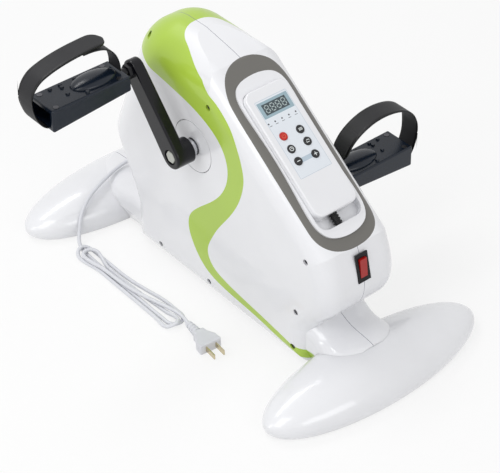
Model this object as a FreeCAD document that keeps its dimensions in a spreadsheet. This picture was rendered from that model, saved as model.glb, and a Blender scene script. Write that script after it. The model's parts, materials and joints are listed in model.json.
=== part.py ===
import math
import os

import FreeCAD
import Part
import Sketcher

from FreeCAD import Placement, Rotation, Vector

# Under-desk pedal exerciser. X runs along the crank axle, Y from the user's end
# (negative) to the far end (positive), Z up. The origin is on the floor, midway
# between the two feet. All sizes are millimetres and degrees.

DOCUMENT = FreeCAD.newDocument("pedal_exerciser")
SHEET = DOCUMENT.addObject("Spreadsheet::Sheet", "dims")

DIMENSIONS = [
    # feet
    ("foot_half_length", 150.4),
    ("foot_half_width", 51.3),
    ("foot_half_height", 33.8),
    ("foot_centre_height", 11.7),
    ("foot_spacing", 447.2),
    ("foot_wall", 3.0),
    ("foot_floor_gap", 1.0),
    ("pad_radius", 11.0),
    ("pad_height", 5.0),
    ("pad_spread", 190.0),
    ("foot_seam_gap", 0.3),
    # housing
    ("housing_half_width", 51.7),
    ("housing_wall", 3.0),
    ("housing_floor_height", 4.0),
    ("edge_radius", 22.0),
    ("crown_radius", 45.0),
    # console
    ("console_top_y", -7.2),
    ("console_top_z", 309.6),
    ("console_slope", 36.7),
    ("console_length", 235.0),
    ("ring_depth", 11.0),
    ("tray_rise", 2.0),
    ("tray_depth", 16.0),
    ("tray_gap", 0.2),
    ("cradle_depth", 8.0),
    ("cradle_end", 207.0),
    ("remote_half_width", 29.5),
    ("remote_start", 38.0),
    ("remote_end", 193.0),
    ("remote_rise", 9.0),
    ("remote_wall", 2.0),
    ("remote_split", 1.0),
    ("remote_gap", 0.4),
    ("panel_half_width", 22.0),
    ("panel_start", 51.0),
    ("panel_end", 147.0),
    ("panel_thickness", 0.8),
    ("lcd_half_width", 20.5),
    ("lcd_start", 53.5),
    ("lcd_end", 72.5),
    ("key_radius", 4.7),
    ("key_gap", 0.3),
    ("key_rise", 0.9),
    ("key_length", 5.0),
    # power switch
    ("switch_y", -204.6),
    ("switch_z", 145.0),
    ("switch_lean", 77.0),
    ("bezel_length", 30.0),
    ("bezel_width", 13.0),
    ("bezel_rise", 1.6),
    ("bezel_depth", 14.0),
    ("rocker_length", 23.0),
    ("rocker_width", 9.4),
    ("rocker_tilt", 7.0),
    ("rocker_gap", 0.7),
    # crank and drive
    ("axle_y", 17.0),
    ("axle_z", 205.5),
    ("axle_radius", 8.5),
    ("crank_length", 104.0),
    ("crank_angle", 50.3),
    ("crank_face", 83.9),
    ("crank_thickness", 14.0),
    ("crank_hub_radius", 15.0),
    ("crank_hub_length", 24.0),
    ("crank_tip_radius", 12.0),
    ("disc_radius", 31.3),
    ("disc_gap", 0.8),
    ("shell_tube_length", 60.0),
    ("shell_tube_radius", 21.0),
    ("bearing_radius", 16.0),
    ("bearing_width", 9.0),
    ("running_gap", 0.05),
    ("pulley_radius", 58.0),
    ("pulley_width", 10.0),
    ("pulley_x", 36.0),
    ("motor_y", -62.0),
    ("motor_z", 88.0),
    ("motor_radius", 34.0),
    ("motor_length", 62.0),
    ("motor_pulley_radius", 12.0),
    ("motor_shaft_radius", 5.0),
    ("belt_thickness", 2.5),
    ("belt_gap", 0.3),
    # pedals
    ("pedal_inner", 97.0),
    ("pedal_outer", 200.0),
    ("pedal_width", 42.0),
    ("pedal_top", 9.2),
    ("pedal_drop_inner", 9.5),
    ("pedal_drop_outer", 18.5),
    ("pedal_axle_radius", 6.0),
    ("pedal_axle_tip", 176.0),
    ("pedal_flange_radius", 9.0),
    ("strap_width", 26.0),
    ("strap_thickness", 4.2),
    ("strap_rise", 57.0),
    ("strap_seat_gap", 0.3),
    # frame
    ("spine_width", 40.0),
    ("spine_height", 24.0),
    ("cross_length", 230.0),
    ("cross_width", 34.0),
    ("cross_height", 20.0),
    ("post_width", 30.0),
    # mains lead
    ("cord_diameter", 4.6),
    ("gland_z", 80.0),
    ("gland_x", 12.0),
    ("hank_radius", 13.0),
    ("plug_height", 14.0),
    ("plug_pin_spacing", 12.7),
    ("plug_pin_length", 17.0),
]


def fill_sheet():
    """Write each driving dimension into its own aliased cell."""
    for row, (alias, value) in enumerate(DIMENSIONS, start=1):
        SHEET.set("A%d" % row, alias.replace("_", " "))
        SHEET.set("B%d" % row, str(value))
        SHEET.setAlias("B%d" % row, alias)
    DOCUMENT.recompute()


fill_sheet()
SIZE = {alias: float(SHEET.get(alias)) for alias, _ in DIMENSIONS}
NODES = {}
SIDES = (("left", -1), ("right", 1))
X_AXIS = Vector(1, 0, 0)
Y_AXIS = Vector(0, 1, 0)
Z_AXIS = Vector(0, 0, 1)


# ---------------------------------------------------------------- helpers
def register(item, label):
    """Give a finished sub-part the label that names its file."""
    item.Label = label
    NODES[label] = item
    return item


def bind(item, **expressions):
    """Tie properties of an object to cells of the sheet."""
    for name, expression in expressions.items():
        item.setExpression(name.replace("__", "."), expression)
    return item


def place(item, x="0", y="0", z="0"):
    """Tie an object's position to expressions over the sheet's cells."""
    return bind(item, Placement__Base__x=x, Placement__Base__y=y, Placement__Base__z=z)


def primitive(kind, name, **expressions):
    """Make a Part primitive whose sizes are bound to the sheet."""
    return bind(DOCUMENT.addObject("Part::" + kind, name), **expressions)


def turn_to(item, axis, angle=90):
    """Turn an object about an axis through its own origin."""
    item.Placement = Placement(item.Placement.Base, Rotation(axis, angle))
    return item


def rod(name, radius, length, x="0", y="0", z="0"):
    """A cylinder along X that starts at x."""
    item = primitive("Cylinder", name, Radius=radius, Height=length)
    turn_to(item, Y_AXIS)
    return place(item, x, y, z)


def box(name, length, width, height, x="0", y="0", z="0"):
    """A box centred on x and y that stands on z."""
    item = primitive("Box", name, Length=length, Width=width, Height=height)
    return place(item, "(%s) - (%s) / 2" % (x, length), "(%s) - (%s) / 2" % (y, width), z)


def combine(kind, name, items):
    """Join items into one fused or compound object."""
    made = DOCUMENT.addObject("Part::" + kind, name)
    if kind == "Compound":
        made.Links = items
    else:
        made.Shapes = items
    return made


def cut(name, base, tool):
    made = DOCUMENT.addObject("Part::Cut", name)
    made.Base = base
    made.Tool = tool
    return made


def feature(name, shape):
    """Hold a shape that code worked out from the sheet's values."""
    made = DOCUMENT.addObject("Part::Feature", name)
    made.Shape = shape
    return made


def body_with_sketch(name, plane, elements, offset=0):
    """A PartDesign body with one sketch of lines or circles on an origin plane."""
    body = DOCUMENT.addObject("PartDesign::Body", name)
    sketch = body.newObject("Sketcher::SketchObject", name + "_sketch")
    datum = next(item for item in body.Origin.OriginFeatures if item.Role == plane)
    sketch.AttachmentSupport = [(datum, "")]
    sketch.MapMode = "FlatFace"
    sketch.AttachmentOffset = Placement(Vector(0, 0, offset), Rotation())
    for element in elements:
        sketch.addGeometry(element, False)
    return body, sketch


def polygon(points):
    """Sketch lines round a closed list of points."""
    corners = [Vector(a, b, 0) for a, b in points]
    return [Part.LineSegment(a, b) for a, b in zip(corners, corners[1:] + corners[:1])]


def pad(body, sketch, length, midplane=True):
    item = body.newObject("PartDesign::Pad", sketch.Name + "_pad")
    item.Profile = sketch
    item.SideType = "Symmetric" if midplane else "One side"
    bind(item, Length=length)
    body.Tip = item
    return item


def yz(y, z, x=0):
    return Vector(x, y, z)


INSET_SAMPLES = 28


def spline(points):
    curve = Part.BSplineCurve()
    curve.interpolate(points)
    return curve.toShape()


def line(a, b):
    return Part.LineSegment(a, b).toShape()


def inset_wire(wire, inset):
    """Closed wire moved inwards, with plain curves in place of offset ones."""
    moved = Part.Face(wire).makeOffset2D(-inset).Wires[0]
    edges = []
    for edge in moved.Edges:
        ends = edge.discretize(Number=INSET_SAMPLES)
        straight = isinstance(edge.Curve, Part.Line)
        edges.append(line(ends[0], ends[-1]) if straight else spline(ends))
    return Part.Wire(Part.__sortEdges__(edges))


def prism(edges, direction):
    """Extrude the face inside a closed loop of edges."""
    wire = Part.Wire(Part.__sortEdges__(edges))
    return Part.Face(wire).extrude(direction)


# ---------------------------------------------------------------- housing form
SLOPE = math.radians(SIZE["console_slope"])
DOWN_SLOPE = yz(-math.cos(SLOPE), -math.sin(SLOPE))
CONSOLE_NORMAL = yz(-math.sin(SLOPE), math.cos(SLOPE))
CONSOLE_TOP = yz(SIZE["console_top_y"], SIZE["console_top_z"])
CONSOLE_FOOT = CONSOLE_TOP + DOWN_SLOPE * SIZE["console_length"]
CONSOLE_ROTATION = Rotation(X_AXIS, DOWN_SLOPE * -1, CONSOLE_NORMAL, "XYZ")


def on_console(x, v, rise=0):
    """Point at x across, v down the slope, and rise above the console's face."""
    return CONSOLE_TOP + DOWN_SLOPE * v + CONSOLE_NORMAL * rise + X_AXIS * x


HALF = SIZE["housing_half_width"]
WALL = SIZE["housing_wall"]
FLOOR = SIZE["housing_floor_height"]
FOOT_Y = SIZE["foot_spacing"] / 2

# The crown is drawn a little high behind its crest, where the dome below trims it.
CROWN_POINTS = [
    (10, 313.8), (29, 317.3), (48, 320.6), (67, 324), (85, 325.5), (103, 323), (119, 314), (131, 297),
]
BACK_POINTS = [
    (139, 274), (147, 248), (160, 221), (173, 197), (179, 170), (175, 140), (163, 110), (148, 82), (140, 60),
]
FRONT_POINTS = [(-203, 150), (-209, 124), (-205, 101), (-193, 84), (-176, 66), (-168, 50)]
DOME_CENTRE = yz(80, 263)
DOME_RADIUS = 58.5
BACK_LEAN = 23.6
DOME_REACH = 400.0


def side_outline(inset):
    """Outline of the housing seen along the axle, moved inwards by inset."""
    crown = [CONSOLE_TOP] + [yz(*p) for p in CROWN_POINTS] + [yz(*p) for p in BACK_POINTS]
    front = [CONSOLE_FOOT] + [yz(*p) for p in FRONT_POINTS]
    back_foot = yz(BACK_POINTS[-1][0], FLOOR)
    front_foot = yz(FRONT_POINTS[-1][0], FLOOR)
    edges = [
        spline(crown),
        line(crown[-1], back_foot),
        line(back_foot, front_foot),
        line(front_foot, front[-1]),
        spline(front[::-1]),
        line(CONSOLE_FOOT, CONSOLE_TOP),
    ]
    wire = Part.Wire(Part.__sortEdges__(edges))
    return inset_wire(wire, inset) if inset else wire


def dome_outline(inset):
    """Level top, round shoulder and leaning back that follow the housing's crown."""
    radius = DOME_RADIUS - inset
    lean = math.radians(BACK_LEAN)
    half_lean = (lean + math.pi / 2) / 2
    crest = DOME_CENTRE + Z_AXIS * radius
    middle = DOME_CENTRE + yz(math.cos(half_lean), math.sin(half_lean)) * radius
    shoulder = DOME_CENTRE + yz(math.cos(lean), math.sin(lean)) * radius
    heel = shoulder + yz(math.sin(lean), -math.cos(lean)) * DOME_REACH
    start = crest - Y_AXIS * DOME_REACH
    toe = Vector(0, start.y, heel.z)
    arc = Part.Arc(crest, middle, shoulder).toShape()
    return Part.Wire([line(start, crest), arc, line(shoulder, heel), line(heel, toe), line(toe, start)])


def slab(outline, half):
    """Extrude an outline of the housing to both sides of the middle."""
    outline.translate(Vector(-half, 0, 0))
    return Part.Face(outline).extrude(Vector(2 * half, 0, 0))


def side_edges(solid):
    """Edges that lie in a solid's two side faces."""
    return [edge for edge in solid.Edges if edge.BoundBox.XLength < 1e-3]


def main_form(inset):
    """Rounded body of the housing: a tight edge at the console, a full dome at the crown."""
    half = HALF - inset
    body = slab(side_outline(inset), half)
    body = body.makeFillet(SIZE["edge_radius"] - inset, side_edges(body))
    dome = slab(dome_outline(inset), half)
    upper = [edge for edge in side_edges(dome) if edge.BoundBox.YMax > 0 and edge.BoundBox.ZMax > DOME_CENTRE.z]
    return body.common(dome.makeFillet(SIZE["crown_radius"] - inset, upper))



# Stations of each neck: distance from the middle, half width and height of its top.
NEAR_NECK = [
    (120, 44, 62), (150, 44, 63), (168, 42.5, 62), (180, 42, 56), (192, 44, 52), (205, 46, 50.5),
    (216, 43, 49.5), (222, 36, 48.5), (225.5, 25, 47.5),
]
FAR_NECK = [
    (110, 43, 58), (140, 43, 58), (162, 42.5, 57), (178, 44, 53), (196, 46.5, 50.5), (214, 46, 49.5),
    (230, 39, 48.5), (240, 28, 47.5), (246, 16, 46.5),
]
SHOULDER_DROP = 22.0
SHOULDER_POWER = 0.75
KEEL_RISE = 20.0
KEEL_INSET = 9.0


def neck_section(y, half, top):
    """Closed wire across a neck: rounded shoulders, upright flanks and a narrower keel."""
    arc = []
    for step in range(13):
        angle = math.pi * step / 12
        across = math.copysign(abs(math.cos(angle)) ** SHOULDER_POWER, math.cos(angle))
        lift = SHOULDER_DROP * math.sin(angle) ** SHOULDER_POWER
        arc.append(Vector(half * across, y, top - SHOULDER_DROP + lift))
    keel = FLOOR + KEEL_RISE
    corners = [
        arc[-1], Vector(-half, y, keel), Vector(KEEL_INSET - half, y, FLOOR),
        Vector(half - KEEL_INSET, y, FLOOR), Vector(half, y, keel), arc[0],
    ]
    return Part.Wire([spline(arc)] + [line(a, b) for a, b in zip(corners, corners[1:])])


def neck_form(stations, side, inset):
    """Saddle that carries the housing out over one foot; side is -1 near, 1 far."""
    sections = []
    for y, half, top in stations:
        sections.append(neck_section(side * y, half - inset, top - inset))
    return Part.makeLoft(sections, True)


def foot_ellipsoid(name, side, grow):
    """Ellipsoid of one foot, grown or shrunk evenly."""
    item = primitive(
        "Ellipsoid", name,
        Radius1="dims.foot_half_height + (%s)" % grow,
        Radius2="dims.foot_half_length + (%s)" % grow,
        Radius3="dims.foot_half_width + (%s)" % grow,
    )
    item.Angle1 = -90
    item.Angle2 = 90
    return place(item, y="%d * dims.foot_spacing / 2" % side, z="dims.foot_centre_height")


def on_console_frame(solid):
    """Put a solid drawn flat at the origin on the console's face."""
    solid.Placement = Placement(CONSOLE_TOP, CONSOLE_ROTATION)
    return solid


def console_plate(half, start, end, low, high, corner):
    """Round-cornered plate parallel to the console's face."""
    solid = Part.makeBox(2 * half, end - start, high - low, Vector(-half, -end, low))
    upright = [edge for edge in solid.Edges if edge.BoundBox.ZLength > high - low - 1e-3]
    return on_console_frame(solid.makeFillet(corner, upright))


def console_oval(points, low, high, grow=0.0):
    """Plate parallel to the console's face, with a smooth outline mirrored from half of it."""
    right = [Vector(x, -v, 0) for x, v in points]
    left = [Vector(-x, -v, 0) for x, v in points[-2:0:-1]]
    curve = Part.BSplineCurve()
    curve.interpolate(right + left, PeriodicFlag=True)
    wire = Part.Wire(curve.toShape())
    if grow:
        wire = inset_wire(wire, -grow)
    face = Part.Face(wire)
    face.translate(Vector(0, 0, low))
    return on_console_frame(face.extrude(Vector(0, 0, high - low)))


# Half outlines on the console's face: across, and down the slope from its top.
RING_OUTLINE = [
    (0, -2.5), (18, 1.6), (30.5, 11.2), (37, 23), (40.4, 36), (41.5, 52), (41.6, 90), (41.6, 130), (41.6, 170),
    (41.5, 195), (40.2, 211), (36.5, 220.5), (30, 228), (18, 234), (0, 236.2),
]
TRAY_OUTLINE = [
    (0, 20.5), (17, 22.6), (27, 28), (32, 37), (33.6, 50), (32.6, 80), (31.6, 112), (32.4, 145), (34, 175),
    (34.2, 190), (32, 204), (25.5, 214), (14, 219.6), (0, 221.4),
]


def console_pin(radius, x, v, low, high):
    """Round pin square to the console's face."""
    return Part.makeCylinder(radius, high - low, on_console(x, v, low), CONSOLE_NORMAL)


# ---------------------------------------------------------------- housing shells
SEAT = HALF - WALL
SCREW_SPOTS = [
    (108, 300, 24.0), (-12, 272, SEAT - 1), (88, 24, SEAT - 1), (-3, 24, SEAT - 1), (-150, 24, SEAT - 1),
    (-172, 158, SEAT - 1), (-156, 78, SEAT),
]
SCREW_HEAD = 3.3
BOSS_RADIUS = 5.5
BOSS_LENGTH = 20.0
SCREW_SHANK = 1.5
SHANK_TIP = 4.0
AXLE = yz(SIZE["axle_y"], SIZE["axle_z"])

BAND_BACK = [
    (200, 284), (118, 282), (104, 278), (91, 272.5), (79, 270), (62, 267.5), (42, 264), (22, 260), (-3, 252),
    (-27, 238), (-40, 220), (-43, 200), (-35, 174), (-15, 148), (18, 117), (30, 99), (31, 83), (24, 65),
    (3, 42), (-30, 32), (-88, 27), (-130, 20), (-190, 3),
]
BAND_FRONT = [
    (40, 352), (24, 322), (10, 304), (-3, 293.5), (-22.7, 282.5), (-36, 273), (-50, 260), (-61, 243),
    (-68, 224), (-70.5, 209), (-69, 196), (-59, 168), (-42, 140), (-22, 112), (-9, 89), (-3, 68), (-10, 54),
    (-29, 45), (-69, 38), (-126, 30), (-178, 21), (-260, 8),
]
TONGUE_LEVEL = 288.0
TONGUE = [
    (55, -45), (50, -23), (47.3, -3), (43.4, 15.7), (37, 33), (31, 47), (27, 56.5), (21.2, 63.7), (14.4, 68),
    (7.3, 70.3), (0, 71),
]
FAR_OFF = 400.0
HOLE_REACH = 40.0
HOLE_REACH = 40.0


def side_zone(points, corners):
    """Prism along the axle between a boundary curve and far corners."""
    curve = [yz(*p, x=-FAR_OFF) for p in points]
    outer = [curve[-1]] + [yz(*p, x=-FAR_OFF) for p in corners] + [curve[0]]
    edges = [spline(curve)] + [line(a, b) for a, b in zip(outer, outer[1:])]
    return prism(edges, Vector(2 * FAR_OFF, 0, 0))


def tongue_zone():
    """Upright prism whose plan is the white tongue over the crown."""
    right = [Vector(x, y, TONGUE_LEVEL) for x, y in TONGUE]
    left = [Vector(-x, y, TONGUE_LEVEL) for x, y in TONGUE[-2::-1]]
    edges = [spline(right + left), line(left[-1], right[0])]
    return prism(edges, Vector(0, 0, FAR_OFF))


def screw_bosses():
    """Posts inside the side walls that take the housing screws."""
    posts = []
    for _, side in SIDES:
        for y, z, seat in SCREW_SPOTS:
            start = Vector(side * (seat - BOSS_LENGTH), y, z)
            posts.append(Part.makeCylinder(BOSS_RADIUS, BOSS_LENGTH + 2 * WALL, start, X_AXIS * side))
    return posts


def screw_wells():
    """Countersinks and bores for the housing screws."""
    wells = []
    for _, side in SIDES:
        for y, z, seat in SCREW_SPOTS:
            head = Vector(side * seat, y, z)
            wells.append(Part.makeCylinder(SCREW_HEAD + 0.3, HALF, head, X_AXIS * side))
            start = Vector(side * (seat - BOSS_LENGTH - 1), y, z)
            wells.append(Part.makeCylinder(SCREW_SHANK, BOSS_LENGTH + 1, start, X_AXIS * side))
    return wells


def housing_parts():
    """Split the hollow housing into its mouldings."""
    outer = main_form(0).fuse([neck_form(NEAR_NECK, -1, 0), neck_form(FAR_NECK, 1, 0)])
    inner = main_form(WALL).fuse([neck_form(NEAR_NECK, -1, WALL), neck_form(FAR_NECK, 1, WALL)])
    bosses = Part.makeCompound(screw_bosses()).common(outer)
    gap = SIZE["foot_seam_gap"]
    feet = []
    for side in (-1, 1):
        item = foot_ellipsoid("foot_clearance", side, str(gap))
        DOCUMENT.recompute()
        feet.append(item.Shape.copy())
        DOCUMENT.removeObject(item.Name)
    disc = SIZE["disc_radius"] + SIZE["disc_gap"]
    opening = Part.makeCylinder(disc, 2 * FAR_OFF, AXLE - X_AXIS * FAR_OFF, X_AXIS)
    gland = Part.makeCylinder(GLAND_NECK, 30, GLAND_SEAT - Y_AXIS * 15, Y_AXIS)
    wall = outer.cut(inner).fuse(bosses).cut(feet + screw_wells() + [opening, gland])
    tray_hole = console_oval(TRAY_OUTLINE, -HOLE_REACH, HOLE_REACH, grow=SIZE["tray_gap"])
    wall = wall.cut([tray_hole] + switch_seat())
    ring_zone = console_oval(RING_OUTLINE, -SIZE["ring_depth"], HOLE_REACH)
    front_zone = side_zone(BAND_FRONT, [(-FAR_OFF, 8), (-FAR_OFF, FAR_OFF), (40, FAR_OFF)]).fuse(tongue_zone())
    back_zone = side_zone(BAND_BACK, [(-FAR_OFF, 3), (-FAR_OFF, -50), (FAR_OFF, -50), (FAR_OFF, 284)])
    under_ring = main_form(WALL / 2)
    ring = wall.common(ring_zone).cut(under_ring)
    parts = {"console_ring": ring}
    rest = wall.cut(ring)
    zones = {
        "shell": rest.common(front_zone),
        "crank_cover": rest.common(back_zone),
        "green_band": rest.cut([front_zone, back_zone]),
    }
    for name, zone in zones.items():
        for word, side in SIDES:
            half_space = Part.makeBox(FAR_OFF, 3 * FAR_OFF, 2 * FAR_OFF,
                                      Vector(-FAR_OFF if side < 0 else 0, -1.5 * FAR_OFF, -FAR_OFF / 2))
            parts[word + "_" + name] = zone.common(half_space)
    return parts


def moulding(shape):
    """The real moulding, without slivers beside it, as one closed solid."""
    solid = max(shape.Solids, key=lambda item: item.Volume)
    return Part.makeSolid(Part.makeShell(solid.Faces))


BEZEL_WALL = 2.0
SWITCH = Placement(yz(SIZE["switch_y"], SIZE["switch_z"]), Rotation(X_AXIS, SIZE["switch_lean"]))


def switch_block(length, width, low, high):
    """Block square to the switch's face, centred on it."""
    block = Part.makeBox(width, length, high - low, Vector(-width / 2, -length / 2, low))
    block.Placement = SWITCH
    return block


def switch_seat():
    """Hole for the switch's body and the shallow seat of its flange."""
    play = 0.4
    hole = switch_block(SIZE["bezel_length"] + play, SIZE["bezel_width"] + play, -20, 20)
    rim = 2 * BEZEL_WALL + 2 * play
    return [hole, switch_block(SIZE["bezel_length"] + rim, SIZE["bezel_width"] + rim, 0, 20)]


GLAND_NECK = 5.0
GLAND_SEAT = Vector(SIZE["gland_x"], 146.0, SIZE["gland_z"])

for label, shape in housing_parts().items():
    register(feature(label, moulding(shape)), label)


# ---------------------------------------------------------------- console
REMOTE_TOP = SIZE["remote_rise"]
SPLIT = SIZE["remote_split"]
PANEL_FLOOR = REMOTE_TOP - SIZE["panel_thickness"]
KEY_SPOTS = {
    "key_start_stop": (-12.0, 97.0),
    "key_mode": (10.5, 98.0),
    "key_direction": (10.5, 113.0),
    "key_timer": (-12.0, 113.0),
    "key_minus": (-12.5, 128.0),
    "key_plus": (10.5, 129.0),
}
LED_SPOTS = [(x, 78.5) for x in (-20.0, -11.0, -1.5, 8.0, 17.5)]
LED_RADIUS = 1.0


def remote_slab(margin, low, high, corner=11.0):
    """Slab with the handset's outline, shrunk by margin."""
    return console_plate(SIZE["remote_half_width"] - margin, SIZE["remote_start"] + margin,
                      SIZE["remote_end"] - margin, low, high, corner=corner - margin)


def console_tray():
    """Raised tray with the cradle that the handset lies in."""
    tray = console_oval(TRAY_OUTLINE, -SIZE["tray_depth"], SIZE["tray_rise"])
    play = SIZE["remote_gap"]
    cradle = console_plate(SIZE["remote_half_width"] + play, SIZE["remote_start"] - play, SIZE["cradle_end"],
                        -SIZE["cradle_depth"], SIZE["tray_rise"] + 1, corner=11 + play)
    return tray.cut(cradle)


def handset_parts():
    """Back, front, label panel, display, lamps, board, keys and plug of the handset."""
    wall = SIZE["remote_wall"]
    low = -SIZE["cradle_depth"] + SIZE["remote_gap"]
    back = remote_slab(0, low, SPLIT).cut(remote_slab(wall, low + wall, SPLIT + 1))
    front = remote_slab(0, SPLIT, REMOTE_TOP)
    rim = [edge for edge in front.Edges
           if all(abs((v.Point - CONSOLE_TOP).dot(CONSOLE_NORMAL) - REMOTE_TOP) < 1e-3 for v in edge.Vertexes)]
    front = front.makeFillet(wall, rim)
    front = front.cut(remote_slab(wall, SPLIT - 1, PANEL_FLOOR - wall))
    panel_recess = console_plate(SIZE["panel_half_width"], SIZE["panel_start"], SIZE["panel_end"],
                              PANEL_FLOOR, REMOTE_TOP + 1, corner=2.0)
    panel = console_plate(SIZE["panel_half_width"], SIZE["panel_start"], SIZE["panel_end"],
                       PANEL_FLOOR, REMOTE_TOP, corner=2.0)
    display = console_plate(SIZE["lcd_half_width"], SIZE["lcd_start"], SIZE["lcd_end"],
                         PANEL_FLOOR - wall, REMOTE_TOP, corner=0.8)
    lamps = [console_pin(LED_RADIUS, x, v, PANEL_FLOOR - wall, REMOTE_TOP) for x, v in LED_SPOTS]
    holes = [console_pin(SIZE["key_radius"] + SIZE["key_gap"], x, v, SPLIT + wall, REMOTE_TOP + 1)
             for x, v in KEY_SPOTS.values()]
    board = remote_slab(wall + 1, SPLIT, SPLIT + 1.2)
    made = {
        "remote_back": back,
        "remote_front": front.cut([panel_recess, display] + lamps + holes),
        "remote_panel": panel.cut([display] + lamps + holes),
        "lcd_window": display,
        "led_windows": Part.makeCompound(lamps),
        "remote_board": board,
        "remote_connector": remote_connector(),
    }
    for label, (x, v) in KEY_SPOTS.items():
        top = REMOTE_TOP + SIZE["key_rise"]
        key = console_pin(SIZE["key_radius"], x, v, top - SIZE["key_length"], top)
        crown = [edge for edge in key.Edges if (edge.CenterOfMass - CONSOLE_TOP).dot(CONSOLE_NORMAL) > top - 0.1]
        made[label] = key.makeFillet(0.5, crown)
    return made


CONNECTOR_X = -4.0
CONNECTOR_RADIUS = 5.0
CONNECTOR_RIBS = 4


def remote_connector():
    """Ribbed plug at the handset's lower end."""
    start = SIZE["remote_end"]
    length = SIZE["cradle_end"] - start - SIZE["remote_gap"]
    base = on_console(CONNECTOR_X, start, SPLIT - 3)
    plug = Part.makeCylinder(CONNECTOR_RADIUS - 1, length, base, DOWN_SLOPE)
    pitch = length / CONNECTOR_RIBS
    for index in range(CONNECTOR_RIBS):
        rib = Part.makeCylinder(CONNECTOR_RADIUS, pitch / 2, base + DOWN_SLOPE * (index * pitch), DOWN_SLOPE)
        plug = plug.fuse(rib)
    return plug.removeSplitter()


register(feature("console_tray", console_tray()), "console_tray")
for label, shape in handset_parts().items():
    register(feature(label, shape), label)


# ---------------------------------------------------------------- power switch
ROCKER_PIVOT = SWITCH.multVec(Vector(0, 0, -1.0))


def switch_bezel():
    """Snap-in body of the switch, open in front for the rocker."""
    length = SIZE["bezel_length"]
    width = SIZE["bezel_width"]
    body = switch_block(length, width, -SIZE["bezel_depth"], 0)
    flange = switch_block(length + 2 * BEZEL_WALL, width + 2 * BEZEL_WALL, 0, SIZE["bezel_rise"])
    mouth = switch_block(SIZE["rocker_length"] + 2 * SIZE["rocker_gap"], SIZE["rocker_width"] + 2 * SIZE["rocker_gap"],
                         -SIZE["bezel_depth"] + BEZEL_WALL, 10)
    pin = Part.makeCylinder(1.5, width, ROCKER_PIVOT - X_AXIS * (width / 2), X_AXIS)
    return body.fuse(flange).cut(mouth).fuse(pin).removeSplitter()


def switch_rocker():
    """Rocker that rests tilted to its off side."""
    length = SIZE["rocker_length"]
    rocker = Part.makeBox(SIZE["rocker_width"], length, 9.0,
                          Vector(-SIZE["rocker_width"] / 2, -length / 2, -5.0))
    ends = [edge for edge in rocker.Edges if edge.BoundBox.XLength > 1 and edge.BoundBox.ZMax < 0]
    rocker = rocker.makeChamfer(3.5, ends)
    rocker = rocker.cut(Part.makeCylinder(1.5 + SIZE["running_gap"], 2 * length, Vector(-length, 0, 0), X_AXIS))
    tilt = Rotation(X_AXIS, SIZE["switch_lean"] + SIZE["rocker_tilt"])
    rocker.Placement = Placement(ROCKER_PIVOT, tilt)
    return rocker


register(feature("switch_bezel", switch_bezel()), "switch_bezel")
register(feature("switch_rocker", switch_rocker()), "switch_rocker")


# ---------------------------------------------------------------- feet and frame
SPINE_Z = "(dims.housing_floor_height + dims.housing_wall + dims.foot_seam_gap)"


def foot_cover(word, side):
    """Hollow foot moulding, open underneath and notched for the spine."""
    shell = cut(word + "_foot_shell", foot_ellipsoid(word + "_foot_outer", side, "0"),
                foot_ellipsoid(word + "_foot_inner", side, "-dims.foot_wall"))
    ground = box(word + "_foot_ground", "4 * dims.foot_half_length", "4 * dims.foot_half_width", "100",
                 y="%d * dims.foot_spacing / 2" % side, z="dims.foot_floor_gap - 100")
    notch = box(word + "_foot_notch", "dims.spine_width + 2 * dims.foot_seam_gap", "dims.foot_half_width",
                SPINE_Z + " + dims.spine_height + dims.foot_seam_gap",
                y="%d * (dims.foot_spacing - dims.foot_half_width * 1.2) / 2" % side, z="0")
    trimmed = cut(word + "_foot_trimmed", shell, ground)
    register(cut(word + "_foot_cover_cut", trimmed, notch), word + "_foot_cover")


foot_cover("near", -1)
foot_cover("far", 1)

pads = []
for side in (-1, 1):
    for across in (-1, 1):
        foot_pad = primitive("Cylinder", "pad", Radius="dims.pad_radius", Height="dims.pad_height")
        place(foot_pad, "%d * dims.pad_spread / 2" % across, "%d * dims.foot_spacing / 2" % side)
        pads.append(foot_pad)
register(combine("Compound", "pads", pads), "foot_pads")

for word, side in (("near", -1), ("far", 1)):
    tube = box(word + "_cross", "dims.cross_length", "dims.cross_width", "dims.cross_height",
               y="%d * dims.foot_spacing / 2" % side, z="dims.pad_height")
    register(tube, word + "_cross_tube")

spine = box("spine", "dims.spine_width", "dims.foot_spacing - dims.cross_width", "dims.spine_height", z=SPINE_Z)
register(spine, "spine_tube")

POST_FOOT = "(%s + dims.spine_height)" % SPINE_Z
post = box("post_blank", "dims.post_width", "dims.post_width", "dims.axle_z - %s" % POST_FOOT,
           y="dims.axle_y", z=POST_FOOT)
saddle = rod("post_saddle", "dims.shell_tube_radius", "2 * dims.post_width", "-dims.post_width",
             "dims.axle_y", "dims.axle_z")
register(cut("post", post, saddle), "crank_post")


# ---------------------------------------------------------------- crank and drive
def disc_body(label, radius, bore, length, offset=0):
    """PartDesign ring round the X axis, padded evenly about its own plane."""
    body, sketch = body_with_sketch(label, "YZ_Plane", [
        Part.Circle(Vector(0, 0, 0), Z_AXIS, 2),
        Part.Circle(Vector(0, 0, 0), Z_AXIS, 1),
    ], offset)
    import_constraint(sketch, 0, radius)
    import_constraint(sketch, 1, bore)
    pad(body, sketch, length)
    return body


def import_constraint(sketch, index, expression):
    """Tie a sketched circle's radius to the sheet and centre it."""
    sketch.addConstraint(Sketcher.Constraint("Coincident", index, 3, -1, 1))
    number = sketch.addConstraint(Sketcher.Constraint("Radius", index, 2 - index))
    sketch.setExpression("Constraints[%d]" % number, expression)


AXLE_PLACE = ("dims.axle_y", "dims.axle_z")
tube = disc_body("bearing_tube", "dims.shell_tube_radius", "dims.bearing_radius", "dims.shell_tube_length")
register(place(tube, "0", *AXLE_PLACE), "bearing_tube")

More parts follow.
